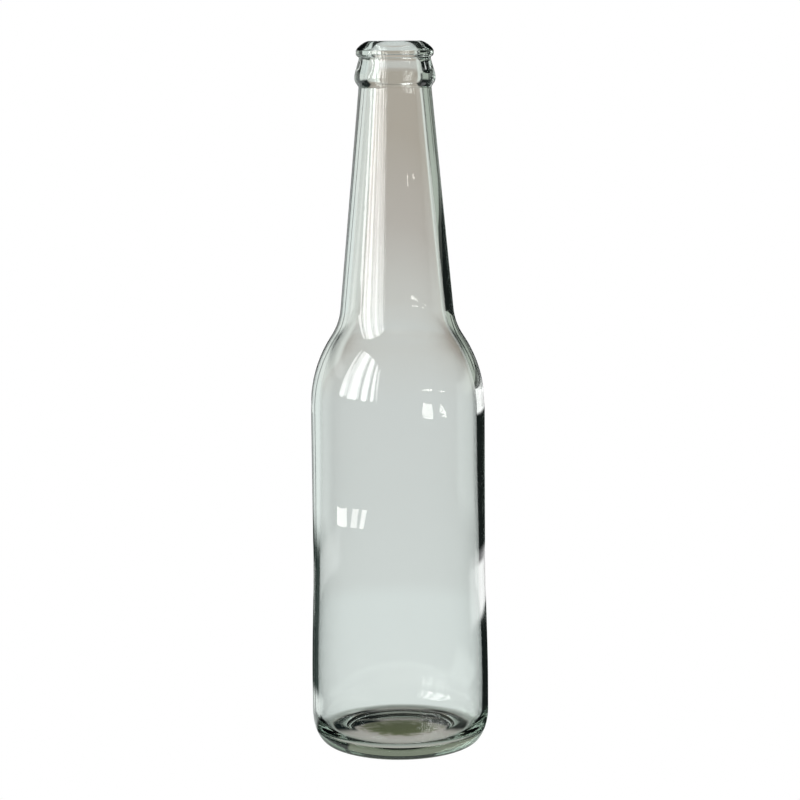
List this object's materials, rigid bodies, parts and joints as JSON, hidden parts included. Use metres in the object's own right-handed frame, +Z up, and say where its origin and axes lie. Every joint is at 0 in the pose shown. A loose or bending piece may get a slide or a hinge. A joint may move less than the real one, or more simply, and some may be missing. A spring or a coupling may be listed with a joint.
{
  "type": "beer bottle",
  "caption": "Empty long-neck bottle of clear glass with a crown finish, sloping shoulder, straight round body and pushed-up base.",
  "frame": {"origin": "centre of the base, on the surface that the bottle stands on", "axes": "+Z up along the bottle's axis, towards the mouth; X and Y are any two level directions, as the bottle is round"},
  "size_m": [0.0616, 0.0616, 0.242],
  "materials": {
    "flint_glass": "gloss, clear with a faint grey-green tint"
  },
  "bodies": {
    "root": {"bottle": "flint_glass"}
  },
  "joints": []
}
